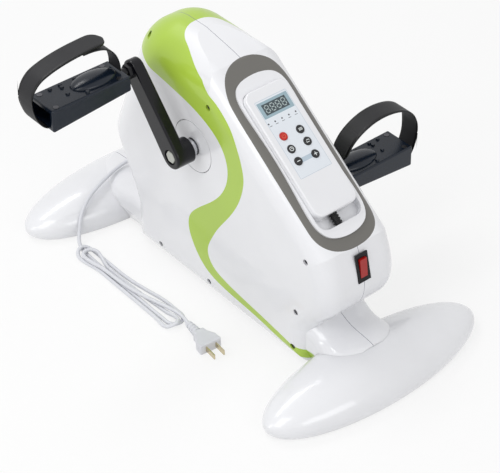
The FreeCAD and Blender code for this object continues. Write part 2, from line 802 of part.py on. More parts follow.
bearings = []
collars = []
for word, side in SIDES:
    ring = disc_body(word + "_bearing", "dims.bearing_radius", "dims.axle_radius + dims.running_gap",
                     "dims.bearing_width")
    bearings.append(place(ring, "%d * (dims.shell_tube_length - dims.bearing_width) / 2" % side, *AXLE_PLACE))
    cover = disc_body(word + "_shaft_disc", "dims.disc_radius", "dims.axle_radius + 2", "dims.housing_wall")
    place(cover, "%d * (dims.housing_half_width - dims.housing_wall / 2)" % side, *AXLE_PLACE)
    register(cover, word + "_shaft_disc")
    collar = disc_body(word + "_shaft_collar", "dims.axle_radius + 1.8", "dims.axle_radius", "6")
    collars.append(place(collar, "%d * (dims.crank_face - dims.crank_hub_length - 3)" % side, *AXLE_PLACE))
register(combine("Compound", "bearings", bearings), "crank_bearings")
register(combine("Compound", "collars", collars), "shaft_collars")

shaft = rod("shaft", "dims.axle_radius", "2 * (dims.crank_face - 4)", "4 - dims.crank_face", *AXLE_PLACE)
register(shaft, "crank_shaft")


def tapered_link(big, small, length, low, high):
    """Bar between two round ends, lying along Y and spanning X from low to high."""
    lean = math.acos((big - small) / length)
    corners = []
    for centre, radius in ((0, big), (length, small)):
        corners.append((centre + radius * math.cos(lean), radius * math.sin(lean)))
    outline = [corners[0], corners[1], (corners[1][0], -corners[1][1]), (corners[0][0], -corners[0][1])]
    points = [Vector(low, y, z) for y, z in outline]
    web = Part.Face(Part.makePolygon(points + points[:1])).extrude(X_AXIS * (high - low))
    ends = [Part.makeCylinder(radius, high - low, Vector(low, centre, 0), X_AXIS)
            for centre, radius in ((0, big), (length, small))]
    return web.fuse(ends).removeSplitter()


def crank_arm(side):
    """Arm with its hub; the pedal end is bored for the pedal axle."""
    face = SIZE["crank_face"]
    inner = face - SIZE["crank_thickness"]
    length = SIZE["crank_length"]
    arm = tapered_link(SIZE["crank_hub_radius"], SIZE["crank_tip_radius"], length, inner, face)
    rims = [edge for edge in arm.Edges if edge.BoundBox.XLength < 1e-3]
    arm = arm.makeFillet(2.5, rims)
    hub = Part.makeCylinder(SIZE["crank_hub_radius"], SIZE["crank_hub_length"] - 3,
                            Vector(face - SIZE["crank_hub_length"], 0, 0), X_AXIS)
    arm = arm.fuse(hub)
    bolt_well = Part.makeCylinder(CAP_RADIUS + 1.5, 4, Vector(face - 4, 0, 0), X_AXIS)
    bore = Part.makeCylinder(SIZE["axle_radius"], face, Vector(0, 0, 0), X_AXIS)
    tip = Part.makeCylinder(SIZE["pedal_axle_radius"], face, Vector(1, length, 0), X_AXIS)
    arm = arm.cut([bolt_well, bore, tip])
    if side < 0:
        arm = arm.mirror(Vector(), X_AXIS)
    angle = SIZE["crank_angle"] + (180 if side > 0 else 0)
    arm.Placement = Placement(AXLE, Rotation(X_AXIS, angle)).multiply(arm.Placement)
    return arm


CAP_RADIUS = 7.5


def hexagon(radius, length, start, direction):
    """Hexagonal prism with the given corner radius."""
    corners = [Vector(0, radius * math.cos(math.radians(60 * i)), radius * math.sin(math.radians(60 * i)))
               for i in range(6)]
    prism_shape = Part.Face(Part.makePolygon(corners + corners[:1])).extrude(direction * length)
    prism_shape.translate(start)
    return prism_shape


def pedal_point(side):
    """Centre of a pedal axle in the plane X = 0."""
    angle = math.radians(SIZE["crank_angle"])
    reach = yz(math.cos(angle), math.sin(angle)) * SIZE["crank_length"]
    return AXLE - reach * side


def pedal_axle(side):
    """Axle screwed into the crank's tip, with its spanner flats."""
    face = SIZE["crank_face"]
    seat = pedal_point(side)
    direction = X_AXIS * side
    start = face - SIZE["crank_thickness"]
    stem = Part.makeCylinder(SIZE["pedal_axle_radius"], SIZE["pedal_axle_tip"] - start,
                             seat + direction * start, direction)
    flange = hexagon(SIZE["pedal_flange_radius"], 5, seat + direction * face, direction)
    return stem.fuse(flange)


bolts = []
for word, side in SIDES:
    register(feature(word + "_crank_arm", crank_arm(side)), word + "_crank_arm")
    bolts.append(hexagon(CAP_RADIUS, 3.2, AXLE + X_AXIS * side * (SIZE["crank_face"] - 4), X_AXIS * side))
    register(feature(word + "_pedal_axle", pedal_axle(side)), word + "_pedal_axle")
register(feature("crank_bolts", Part.makeCompound(bolts)), "crank_bolts")

pulley = disc_body("crank_pulley", "dims.pulley_radius", "dims.axle_radius", "dims.pulley_width")
place(pulley, "dims.pulley_x", *AXLE_PLACE)
register(pulley, "crank_pulley")

MOTOR_PLACE = ("dims.motor_y", "dims.motor_z")
MOTOR_FACE = "(dims.pulley_x - dims.pulley_width / 2 - 9)"
can = rod("motor_can", "dims.motor_radius", "dims.motor_length", MOTOR_FACE + " - dims.motor_length", *MOTOR_PLACE)
can_bore = rod("motor_bore", "dims.motor_shaft_radius + dims.running_gap", "20", MOTOR_FACE + " - 12", *MOTOR_PLACE)
register(cut("motor", can, can_bore), "motor")
rotor = rod("motor_rotor", "dims.motor_shaft_radius", "12 + 9 + dims.pulley_width + 2",
            MOTOR_FACE + " - 11.5", *MOTOR_PLACE)
register(rotor, "motor_shaft")
pinion = disc_body("motor_pulley", "dims.motor_pulley_radius", "dims.motor_shaft_radius", "dims.pulley_width")
place(pinion, "dims.pulley_x", *MOTOR_PLACE)
register(pinion, "motor_pulley")

bracket = box("bracket_blank", "dims.spine_width", "dims.motor_radius * 1.4", "dims.motor_z - %s - 18" % POST_FOOT,
              "-8", "dims.motor_y", POST_FOOT)
cradle = rod("bracket_cradle", "dims.motor_radius", "200", "-100", *MOTOR_PLACE)
register(cut("bracket", bracket, cradle), "motor_bracket")


def drive_belt():
    """Flat belt round both pulleys, a running gap clear of them."""
    gap = SIZE["belt_gap"]
    low = -SIZE["pulley_width"] / 2 + 1
    big = SIZE["pulley_radius"] + gap
    small = SIZE["motor_pulley_radius"] + gap
    span = yz(SIZE["motor_y"], SIZE["motor_z"]) - AXLE
    thick = SIZE["belt_thickness"]
    belt = tapered_link(big + thick, small + thick, span.Length, low, -low)
    belt = belt.cut(tapered_link(big, small, span.Length, low - 1, 1 - low))
    angle = math.degrees(math.atan2(span.z, span.y))
    belt.Placement = Placement(AXLE + X_AXIS * SIZE["pulley_x"], Rotation(X_AXIS, angle))
    return belt


register(feature("drive_belt", drive_belt()), "drive_belt")


# ---------------------------------------------------------------- electronics
BOARD_Y = 84.0
BOARD_LENGTH = 60.0
BOARD_WIDTH = 60.0
BOARD_LEGS = 8.0

board = box("board_plate", str(BOARD_WIDTH), str(BOARD_LENGTH), "1.6", "0", str(BOARD_Y),
            "%s + %s" % (POST_FOOT, BOARD_LEGS))
legs = []
for across in (-1, 1):
    for along in (-1, 1):
        leg = primitive("Cylinder", "leg", Radius="3", Height=str(BOARD_LEGS))
        place(leg, str(across * 14), str(BOARD_Y + along * 24), POST_FOOT)
        legs.append(leg)
transformer = box("transformer", "26", "30", "24", "-10", str(BOARD_Y + 8), "%s + %s + 1.6" % (POST_FOOT, BOARD_LEGS))
register(combine("MultiFuse", "board", [board, transformer] + legs), "control_board")


# ---------------------------------------------------------------- pedals
DOME = (132.0, 28.0, 15.0, 7.0)
STUDS = [(146, 15), (165, 15), (178, 15), (150, -15), (168, -4), (157, 4), (166, 10)]
PEDAL_SCREWS = [(191.8, 14.5), (191.8, -16.0), (109.0, 15.5), (109.0, -16.0)]


def pedal_bottom(x):
    """Height of the pedal's underside, which rises towards the crank."""
    run = (x - SIZE["pedal_inner"]) / (SIZE["pedal_outer"] - SIZE["pedal_inner"])
    return -SIZE["pedal_drop_inner"] - run * (SIZE["pedal_drop_outer"] - SIZE["pedal_drop_inner"])


def pedal_body(label, side):
    """Tread block with a raised oval pad, studs and an open outer end."""
    inner, outer, top = SIZE["pedal_inner"], SIZE["pedal_outer"], SIZE["pedal_top"]
    corners = [(inner, top), (outer, top), (outer, pedal_bottom(outer)), (inner, pedal_bottom(inner))]
    body, sketch = body_with_sketch(label + "_block", "XZ_Plane", polygon([(side * x, z) for x, z in corners]))
    block = pad(body, sketch, "dims.pedal_width")
    DOCUMENT.recompute()
    soften = body.newObject("PartDesign::Fillet", label + "_soft")
    soften.Base = (block, ["Edge%d" % (i + 1) for i in range(len(block.Shape.Edges))])
    soften.Radius = 2.2
    body.Tip = soften
    dome = primitive("Ellipsoid", label + "_dome")
    dome.Radius1, dome.Radius2, dome.Radius3 = DOME[3], DOME[1], DOME[2]
    dome.Angle1, dome.Angle2 = -90, 90
    place(dome, str(side * DOME[0]), "0", "dims.pedal_top")
    knobs = [body, dome]
    for x, y in STUDS:
        stud = primitive("Cone", label + "_stud", Radius1="3", Radius2="2", Height="3.5")
        knobs.append(place(stud, str(side * x), str(y), "dims.pedal_top - 1.5"))
    solid = combine("MultiFuse", label + "_tread", knobs)
    mouth_depth = 16
    centre = side * (SIZE["pedal_outer"] - mouth_depth / 2 + 1)
    mouth = box(label + "_mouth", str(mouth_depth + 2), "dims.pedal_width - 9",
                "dims.pedal_drop_outer + dims.pedal_top - 9", str(centre), "0", "4.5 - dims.pedal_drop_outer")
    reach = "(dims.pedal_axle_tip - dims.pedal_inner + 12)"
    start = "dims.pedal_inner - 10" if side > 0 else "10 - dims.pedal_inner - %s" % reach
    bore = rod(label + "_bore", "dims.pedal_axle_radius + dims.running_gap", reach, start)
    wells = [mouth, bore]
    for x, y in PEDAL_SCREWS:
        well = primitive("Cylinder", label + "_well", Radius="3.4", Height="8")
        wells.append(place(well, str(side * x), str(y), "dims.pedal_top - 1.2"))
    tools = combine("MultiFuse", label + "_tools", wells)
    return cut(label + "_cut", solid, tools)


def at_pedal(item, side):
    """Move an object from the pedal's own frame to its axle."""
    swing = "dims.crank_length * %s(dims.crank_angle * 1 deg)"
    sign = "-" if side > 0 else "+"
    return place(item, "0", "dims.axle_y %s %s" % (sign, swing % "cos"), "dims.axle_z %s %s" % (sign, swing % "sin"))


STRAP_SHIFT = 2.0


def pedal_strap(side):
    """Toe strap: a band from under the pedal's outer end over to its inner end."""
    gap = SIZE["strap_seat_gap"]
    thick = SIZE["strap_thickness"]
    outer = SIZE["pedal_outer"]
    crest = SIZE["strap_rise"] - thick
    path = [
        (outer - 22, pedal_bottom(outer - 22) - gap), (outer - 10, pedal_bottom(outer - 10) - gap),
        (outer + 1, pedal_bottom(outer) - gap + 0.6), (outer + 10, -12), (outer + 16, -1), (outer + 18.3, 13),
        (outer + 16.5, 28), (outer + 8, 41), (outer - 8, crest - 3), (outer - 32, crest),
        (outer - 56, crest - 2), (outer - 78, crest - 9), (outer - 92, crest - 21),
        (outer - 97, crest - 33), (outer - 98, SIZE["pedal_top"] + gap),
    ]
    centre = [Vector(side * x, 0, z) for x, z in path]
    normals = []
    for index in range(len(centre)):
        ahead = centre[min(index + 1, len(centre) - 1)] - centre[max(index - 1, 0)]
        normals.append(Y_AXIS.cross(ahead).normalize() * side)
    outside = [point + normal * thick for point, normal in zip(centre, normals)]
    loop = [spline(centre), line(centre[-1], outside[-1]), spline(outside[::-1]), line(outside[0], centre[0])]
    width = SIZE["strap_width"]
    band = prism(loop, Y_AXIS * width)
    band.translate(Y_AXIS * (STRAP_SHIFT - width / 2) + pedal_point(side))
    return band


for word, side in SIDES:
    register(at_pedal(pedal_body(word + "_pedal", side), side), word + "_pedal_body")
    screws = []
    for x, y in PEDAL_SCREWS:
        screw = primitive("Cylinder", word + "_pedal_screw", Radius="3.2", Height="1.6")
        screws.append(place(screw, str(side * x), str(y), "dims.pedal_top - 1.2"))
    register(at_pedal(combine("Compound", word + "_screws", screws), side), word + "_pedal_screws")
    register(feature(word + "_pedal_strap", pedal_strap(side)), word + "_pedal_strap")


# ---------------------------------------------------------------- housing screws
def housing_screws():
    """Pan heads in the countersinks, each with its thread in the boss."""
    made = []
    for _, side in SIDES:
        for y, z, seat in SCREW_SPOTS:
            head = Part.makeCylinder(SCREW_HEAD, 1.8, Vector(side * seat, y, z), X_AXIS * side)
            tip = Vector(side * (seat - BOSS_LENGTH + SHANK_TIP), y, z)
            shank = Part.makeCylinder(SCREW_SHANK, BOSS_LENGTH - SHANK_TIP, tip, X_AXIS * side)
            made.append(head.fuse(shank).removeSplitter())
    return Part.makeCompound(made)


register(feature("housing_screws", housing_screws()), "housing_screws")


# ---------------------------------------------------------------- mains lead
CORD = SIZE["cord_diameter"]
RELIEF_LENGTH = 22.0
CORD_EXIT = GLAND_SEAT + Y_AXIS * RELIEF_LENGTH
CORD_FLOOR = CORD / 2 + 0.3
CORD_ROUTE = [
    (12, 168, 80), (12, 184, 79), (10, 198, 70), (0, 207, 60.5), (-13, 211, 55), (-27, 210, 52.5),
    (-41, 206, 51.5), (-54, 202, 50), (-66, 199, 47), (-77, 196, 42.5), (-88, 192, 36), (-97, 187, 27),
    (-104, 181, 15.5), (-110, 175, 6), (-114, 165, CORD_FLOOR), (-115, 152, CORD_FLOOR),
]
HANK_FAR = Vector(-115, 152 - SIZE["hank_radius"], 0)
HANK_NEAR = Vector(-110, -15, 0)


def route_tube(points, diameter):
    """Tube along straight runs joined by tangent arcs; prints the arcs' radii."""
    corners = [Vector(*p) for p in points]
    edges = []
    radii = []
    start = corners[0]
    for before, corner, after in zip(corners, corners[1:], corners[2:]):
        inward = corner - before
        onward = after - corner
        turn = inward.getAngle(onward)
        setback = 0.45 * min(inward.Length, onward.Length)
        radii.append(setback / math.tan(turn / 2))
        inward.normalize()
        onward.normalize()
        first = corner - inward * setback
        last = corner + onward * setback
        bisector = (onward - inward).normalize()
        middle = corner + bisector * (radii[-1] / math.cos(turn / 2) - radii[-1])
        edges.append(line(start, first))
        edges.append(Part.Arc(first, middle, last).toShape())
        start = last
    edges.append(line(start, corners[-1]))
    wire = Part.Wire(edges)
    length = wire.Length
    section = Part.Wire(Part.makeCircle(diameter / 2, corners[0], corners[1] - corners[0]))
    tube = wire.makePipeShell([section], True, True)
    expected = math.pi * diameter ** 2 / 4 * length
    print("cord radii", [round(radius, 1) for radius in radii])
    print("cord length %.1f volume ratio %.4f" % (length, tube.Volume / expected))
    return tube


def cord_hank():
    """Closed outline of the folded lead on the floor."""
    radius = SIZE["hank_radius"]
    span = HANK_NEAR - HANK_FAR
    bar = tapered_link(radius, radius * 0.98, span.Length, 0, 2 * CORD)
    bar = bar.makeFillet(2.0, [edge for edge in bar.Edges if edge.BoundBox.XLength < 1e-3])
    flat = Placement(Vector(), Rotation(Y_AXIS, -90))
    along = Placement(HANK_FAR, Rotation(Y_AXIS, span))
    bar.Placement = along.multiply(flat)
    return bar


def strain_relief():
    """Tapered ribbed sleeve where the lead leaves the housing."""
    root = Part.makeCylinder(GLAND_NECK, 7, GLAND_SEAT - Y_AXIS * 3.5, Y_AXIS)
    sleeve = Part.makeCone(GLAND_NECK, CORD / 2 + 0.8, RELIEF_LENGTH, GLAND_SEAT, Y_AXIS)
    for step in range(1, 5):
        rib = Part.makeCylinder(GLAND_NECK - 0.4 * step + 0.6, 2.0, GLAND_SEAT + Y_AXIS * (4 * step), Y_AXIS)
        sleeve = sleeve.fuse(rib)
    return root.fuse(sleeve).removeSplitter()


PLUG_START = Vector(-103.5, -28.2, SIZE["plug_height"] / 2)
PLUG_TURN = 5.6
PLUG_LENGTH = 27.0
PLUG_RELIEF = 22.0
PLUG_FACE_WIDTH = 28.0


def plug_frame(shape):
    """Place a plug piece that was made pointing along -Y."""
    shape.Placement = Placement(PLUG_START, Rotation(Z_AXIS, -PLUG_TURN)).multiply(shape.Placement)
    return shape


def plug_body():
    """Moulded two-pin plug with its ribbed tail."""
    height = SIZE["plug_height"]
    tail = Part.makeCone(CORD / 2 + 1, 5.5, PLUG_RELIEF, Vector(), Y_AXIS * -1)
    for step in range(4):
        rib = Part.makeCylinder(4.3 + 0.5 * step, 2.2, Y_AXIS * (-3 - 5 * step), Y_AXIS * -1)
        tail = tail.fuse(rib)
    start = -PLUG_RELIEF
    widths = [(start, 7), (start - 6, 7.5), (start - 16, PLUG_FACE_WIDTH / 2 - 1),
              (start - PLUG_LENGTH, PLUG_FACE_WIDTH / 2)]
    outline = [Vector(w, y, -height / 2) for y, w in widths] + [Vector(-w, y, -height / 2) for y, w in widths[::-1]]
    grip = Part.Face(Part.makePolygon(outline + outline[:1])).extrude(Z_AXIS * height)
    grip = grip.makeFillet(1.8, grip.Edges)
    return plug_frame(tail.fuse(grip).removeSplitter())


def plug_pins():
    """Two flat pins that stand out of the plug's face."""
    pins = []
    start = -PLUG_RELIEF - PLUG_LENGTH
    for side in (-1, 1):
        corner = Vector(side * SIZE["plug_pin_spacing"] / 2 - 0.75, start - SIZE["plug_pin_length"], -3.2)
        pins.append(Part.makeBox(1.5, SIZE["plug_pin_length"], 6.4, corner))
    return plug_frame(Part.makeCompound(pins))


register(feature("cord_strain_relief", strain_relief()), "cord_strain_relief")
register(feature("power_cord", route_tube(CORD_ROUTE, CORD)), "power_cord")
register(feature("cord_hank", cord_hank()), "cord_hank")
register(feature("plug_body", plug_body()), "plug_body")
register(feature("plug_pins", plug_pins()), "plug_pins")


# ---------------------------------------------------------------- check and write
DOCUMENT.recompute()
for item in DOCUMENT.Objects:
    if "Invalid" in item.State or "Error" in item.State:
        raise RuntimeError("failed feature: %s" % item.Label)
os.makedirs("parts", exist_ok=True)
for label, item in NODES.items():
    shape = item.Shape
    if shape.isNull() or not shape.isValid():
        raise RuntimeError("bad shape: %s" % label)
    shape.exportStep("parts/%s.step" % label)
print("wrote %d sub-parts" % len(NODES))
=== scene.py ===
# %% [markdown]
# # A pedal exerciser, finished in Blender
# The CAD model of a small motorised pedal exerciser arrives as a fixed frame: every moulding,
# shaft and screw at its real size and place, in metres, with Z up and the floor at zero. This
# lesson gives each of them a finish, replaces the soft pieces with modelled ones, lays out the
# mains lead, and lights the result like a plain studio picture.

# %% Load the frame
import json
import math

import bmesh
import bpy
from mathutils import Matrix, Vector


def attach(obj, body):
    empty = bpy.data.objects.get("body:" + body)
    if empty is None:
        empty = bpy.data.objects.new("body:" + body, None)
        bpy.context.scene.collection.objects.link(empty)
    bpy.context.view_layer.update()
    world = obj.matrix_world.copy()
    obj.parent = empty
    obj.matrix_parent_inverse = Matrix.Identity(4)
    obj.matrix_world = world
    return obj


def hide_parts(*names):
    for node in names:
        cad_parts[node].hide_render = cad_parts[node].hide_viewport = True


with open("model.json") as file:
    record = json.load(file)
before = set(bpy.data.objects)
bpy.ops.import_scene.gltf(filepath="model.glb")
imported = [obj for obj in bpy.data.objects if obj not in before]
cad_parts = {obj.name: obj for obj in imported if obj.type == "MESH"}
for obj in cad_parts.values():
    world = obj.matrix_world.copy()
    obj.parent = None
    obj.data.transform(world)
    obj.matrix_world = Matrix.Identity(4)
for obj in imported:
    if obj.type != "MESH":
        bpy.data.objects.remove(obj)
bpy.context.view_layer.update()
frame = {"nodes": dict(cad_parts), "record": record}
NODES = frame["nodes"]
print("loaded", len(NODES), "CAD nodes")

# %% [markdown]
# ## Camera first
# The camera stands well back with a long lens, so that upright edges stay nearly parallel, and
# looks down at the machine from over its left pedal. It comes before everything else because
# the lead has to be laid out inside its view.

# %% Camera
CAMERA_PLACE = Vector((-1.0896, -1.3688, 1.4631))
CAMERA_AZIMUTH = -38.84
CAMERA_ELEVATION = 38.70
CAMERA_ROLL = -1.11
SENSOR = 36.0
LENS = 139.925


def add_camera():
    """Long-lens camera that looks down from over the left pedal."""
    data = bpy.data.cameras.new("studio_camera")
    data.sensor_width = SENSOR
    data.sensor_fit = "HORIZONTAL"
    data.lens = LENS
    data.clip_end = 20
    camera = bpy.data.objects.new("studio_camera", data)
    bpy.context.scene.collection.objects.link(camera)
    turn = (Matrix.Rotation(math.radians(CAMERA_AZIMUTH), 4, "Z")
            @ Matrix.Rotation(math.radians(90 - CAMERA_ELEVATION), 4, "X")
            @ Matrix.Rotation(math.radians(CAMERA_ROLL), 4, "Z"))
    camera.matrix_world = Matrix.Translation(CAMERA_PLACE) @ turn
    bpy.context.scene.camera = camera
    return camera


camera = add_camera()
print("camera lens", round(camera.data.lens, 1), "mm")

# %% [markdown]
# ## Shader sums
# A procedural finish is mostly arithmetic on sockets. Wiring each Math node by hand hides the
# idea, so one small class wraps a socket and turns Python's own operators into Math nodes, and
# one method makes any other node from its type, settings and inputs.

# %% Signals and wiring
class Signal:
    """A shader socket that takes part in Python expressions."""

    def __init__(self, wiring, socket):
        self.wiring = wiring
        self.socket = socket

    def math(self, operation, *values):
        """A Math node on any values."""
        return self.wiring.node("ShaderNodeMath", {"operation": operation}, values)

    def __add__(self, other):
        return self.math("ADD", self, other)

    def __sub__(self, other):
        return self.math("SUBTRACT", self, other)

    def __rsub__(self, other):
        return self.math("SUBTRACT", other, self)

    def __mul__(self, other):
        return self.math("MULTIPLY", self, other)

    def __gt__(self, other):
        return self.math("GREATER_THAN", self, other)

    def __lt__(self, other):
        return self.math("LESS_THAN", self, other)

    def __abs__(self):
        return self.math("ABSOLUTE", self)

    __radd__ = __add__
    __rmul__ = __mul__

    def smooth(self, low, high):
        """Zero below low, one above high, and a soft step between."""
        return self.wiring.node("ShaderNodeMapRange", {"interpolation_type": "SMOOTHSTEP"},
                                {"Value": self, "From Min": low, "From Max": high})


class Wiring:
    """A node tree that grows from Python expressions."""

    def __init__(self, tree):
        self.tree = tree

    def feed(self, socket, value):
        """Give a socket a constant, or link a signal to it."""
        if isinstance(value, Signal):
            self.tree.links.new(value.socket, socket)
        else:
            socket.default_value = value

    def node(self, kind, settings, inputs, output=0):
        """Any node: its settings first, then its inputs by name or in order."""
        made = self.tree.nodes.new(kind)
        for name, value in settings.items():
            setattr(made, name, value)
        pairs = inputs.items() if isinstance(inputs, dict) else enumerate(inputs)
        for key, value in pairs:
            self.feed(made.inputs[key], value)
        return Signal(self, made.outputs[output])


def either(masks):
    """One where any of the masks is one."""
    joined = masks[0]
    for mask in masks[1:]:
        joined = joined.math("MAXIMUM", joined, mask)
    return joined


print("signals ready")

# %% [markdown]
# ## One class for all finishes
# Each finish is a Principled shader with a few sockets set. What is the same all over a surface
# is set on the shader itself, and only what really changes, such as the gloss, gets nodes. The
# patterns read the position on the piece in metres, so their grain has a real size.

# %% Finish class
# The Mix node has sockets for each kind of value; these are the ones that it uses for colours.
MIX_FACTOR, MIX_FIRST, MIX_SECOND, MIX_RESULT = 0, 6, 7, 2


class Finish(Wiring):
    """One material, built round a Principled shader."""

    def __init__(self, name, color, roughness, **sockets):
        self.material = bpy.data.materials.new(name)
        self.material.use_nodes = True
        self.material.diffuse_color = (*color, 1)
        super().__init__(self.material.node_tree)
        self.shader = self.tree.nodes["Principled BSDF"]
        self.set("Base Color", (*color, 1))
        self.set("Roughness", roughness)
        for socket, value in sockets.items():
            self.set(socket.replace("_", " "), value)

    def set(self, socket, value):
        """Give one socket of the shader a constant or a signal."""
        self.feed(self.shader.inputs[socket], value)
        return self

    def place(self):
        """Position on the piece, in metres."""
        return self.node("ShaderNodeTexCoord", {}, {}, "Object")

    def axes(self):
        """The x, y and z of the position, as three signals."""
        split = self.node("ShaderNodeSeparateXYZ", {}, [self.place()])
        return [Signal(self, socket) for socket in split.socket.node.outputs]

    def noise(self, scale, detail):
        """Cloudy pattern from 0 to 1, with the given count of lumps per metre."""
        return self.node("ShaderNodeTexNoise", {},
                         {"Vector": self.place(), "Scale": scale, "Detail": detail})

    def blend(self, mask, first, second):
        """Colour that goes from first to second as mask goes from 0 to 1."""
        first, second = [value if isinstance(value, Signal) else (*value, 1)
                         for value in (first, second)]
        return self.node("ShaderNodeMix", {"data_type": "RGBA"},
                         {MIX_FACTOR: mask, MIX_FIRST: first, MIX_SECOND: second}, MIX_RESULT)

    def bump(self, height, distance):
        """Raise the surface by a height signal, without changing its mesh."""
        return self.set("Normal", self.node("ShaderNodeBump", {},
                                            {"Height": height, "Distance": distance}))


print("finish class ready")

# %% [markdown]
# ## Moulded finishes
# Injection-moulded plastic is never perfectly even. The gloss wanders a little where the melt
# froze at different speeds, the colour shifts by a few percent with it, and the surface carries
# a very shallow ripple. Three noises at those real scales do this with no picture file.

# %% Finishes for mouldings
CLOUDS = 14
GRAIN = 90
SINK_MARKS = 26
SINK_DEPTH = 0.00012
SHADED = 0.97


def moulded(name, color, roughness, ripple=SINK_DEPTH, **sockets):
    """Moulding with wandering gloss and a faint sink ripple."""
    finish = Finish(name, color, roughness, **sockets)
    cloud = finish.noise(CLOUDS, 3)
    shade = tuple(channel * SHADED for channel in color)
    finish.set("Base Color", finish.blend(cloud.smooth(0.3, 0.7), color, shade))
    fine = finish.noise(GRAIN, 2)
    # The two noises swing the roughness from 0.85 to 1.15 of its written value.
    finish.set("Roughness", roughness * 0.85 + cloud * (roughness * 0.2) + fine * (roughness * 0.1))
    return finish.bump(finish.noise(SINK_MARKS, 1), ripple)


WHITE = (0.80, 0.805, 0.83)
WHITE_COAT = {"Coat_Weight": 0.8, "Coat_Roughness": 0.05}
SHELL_ROUGHNESS = 0.32

# Colour, roughness and other sockets of each moulded, painted or rubber finish.
MOULDINGS = {
    "white_plastic": (WHITE, SHELL_ROUGHNESS, WHITE_COAT),
    "grey_trim": ((0.135, 0.13, 0.118), 0.3, {"Coat_Weight": 0.3, "Coat_Roughness": 0.15}),
    "lamp": ((0.06, 0.06, 0.07), 0.2, {}),
    "black_plastic": ((0.006, 0.006, 0.007), 0.35, {"Specular_IOR_Level": 0.25}),
    "red_plastic": ((0.36, 0.006, 0.004), 0.3, {}),
    "bolt_cap": ((0.45, 0.46, 0.42), 0.45, {}),
    "pedal_plastic": ((0.004, 0.009, 0.019), 0.26, {"Specular_IOR_Level": 0.38}),
    "strap_rubber": ((0.018, 0.018, 0.021), 0.6, {}),
    "pad_rubber": ((0.02, 0.02, 0.02), 0.8, {}),
    "pulley_plastic": ((0.06, 0.06, 0.065), 0.5, {}),
    "board": ((0.02, 0.16, 0.06), 0.4, {}),
    "cord_sheath": ((0.68, 0.69, 0.73), 0.42, {}),
    "black_paint": ((0.002, 0.002, 0.004), 0.2, {"Specular_IOR_Level": 0.3}),
    "frame_paint": ((0.02, 0.02, 0.022), 0.45, {}),
}
FINISHES = {name: moulded(name, color, roughness, **sockets)
            for name, (color, roughness, sockets) in MOULDINGS.items()}
print(len(FINISHES), "moulded finishes")

# %% [markdown]
# ## Metal finishes
# The bolts, screws, motor and plug pins are bare or plated metal. A metal shows its finish in
# its gloss and hardly in its colour, so the only pattern here is a very fine one that breaks up
# the roughness, as tool marks and handling do.

# %% Finishes for metals
TOOL_MARKS = 600


def machined(name, color, roughness):
    """Turned or plated metal whose fine marks swing the roughness by a fifth each way."""
    finish = Finish(name, color, roughness, Metallic=1.0)
    marks = finish.noise(TOOL_MARKS, 1)
    return finish.set("Roughness", roughness * 0.8 + marks * (roughness * 0.4))


METALS = {
    "steel": ((0.55, 0.56, 0.58), 0.25),
    # The screws' very dark grey is painted shade: it stands for the shade in the deep wells that
    # they sit in.
    "screw_metal": ((0.10, 0.10, 0.11), 0.35),
    "motor_metal": ((0.4, 0.4, 0.42), 0.4),
    "plug_metal": ((0.62, 0.54, 0.36), 0.25),
}
for name, (color, roughness) in METALS.items():
    FINISHES[name] = machined(name, color, roughness)
print(len(METALS), "metal finishes")

# %% [markdown]
# ## The console's own plane
# The handset lies on the slope of the housing, and its printed panel, display and key tops are
# all flat on that slope. Their pictures are drawn by sums on two numbers: x across the console,
# and v down the slope from its top edge, both in millimetres. A box is then four comparisons,
# and it stays sharp at any distance, which a small picture file would not.

# %% Shapes on the console plane
CONSOLE_TOP = Vector((0, -0.0072, 0.3096))
CONSOLE_SLOPE = math.radians(36.7)


def console_plane(finish):
    """Signals x and v, in millimetres, for a piece on the console."""
    x, y, z = finish.axes()
    down = ((y - CONSOLE_TOP.y) * -math.cos(CONSOLE_SLOPE)
            + (z - CONSOLE_TOP.z) * -math.sin(CONSOLE_SLOPE))
    return x * 1000, down * 1000


def inside_box(x, v, centre, half):
    """One inside a rectangle, zero outside."""
    return (abs(x - centre[0]) < half[0]) * (abs(v - centre[1]) < half[1])


print("console slope", round(math.degrees(CONSOLE_SLOPE), 1), "degrees")

# %% [markdown]
# ## Display
# The display is a blue-grey window with a dark field, in which four digits of seven bars show.
# All the bars are lit, so one function draws a whole digit and the four differ only in place.

# %% Display
DISPLAY_MIDDLE = (0, 63.0)
DISPLAY_FIELD_HALF = (16.0, 6.4)
DISPLAY_SURROUND = (0.30, 0.42, 0.48)
DISPLAY_DARK = (0.035, 0.055, 0.065)
DISPLAY_PALE = (0.42, 0.50, 0.50)
DIGIT_HALF = (2.3, 4.2)
DIGIT_SPOTS = (-11.2, -3.7, 3.8, 11.3)
BAR_HALF_WIDTH = 0.5
BAR_GAP = 0.7
# The seven bars of a digit: where the middle of each is, in half sizes of the digit.
FLAT_BARS = [(0, -1), (0, 0), (0, 1)]
TALL_BARS = [(-1, -0.5), (1, -0.5), (-1, 0.5), (1, 0.5)]


def digit(x, v, across):
    """All seven bars of one digit, with small gaps between them."""
    flat_half = (DIGIT_HALF[0] - BAR_GAP, BAR_HALF_WIDTH)
    tall_half = (BAR_HALF_WIDTH, DIGIT_HALF[1] / 2 - BAR_GAP)
    bars = []
    for spots, half in ((FLAT_BARS, flat_half), (TALL_BARS, tall_half)):
        for dx, dv in spots:
            centre = (across + dx * DIGIT_HALF[0], DISPLAY_MIDDLE[1] + dv * DIGIT_HALF[1])
            bars.append(inside_box(x, v, centre, half))
    return either(bars)


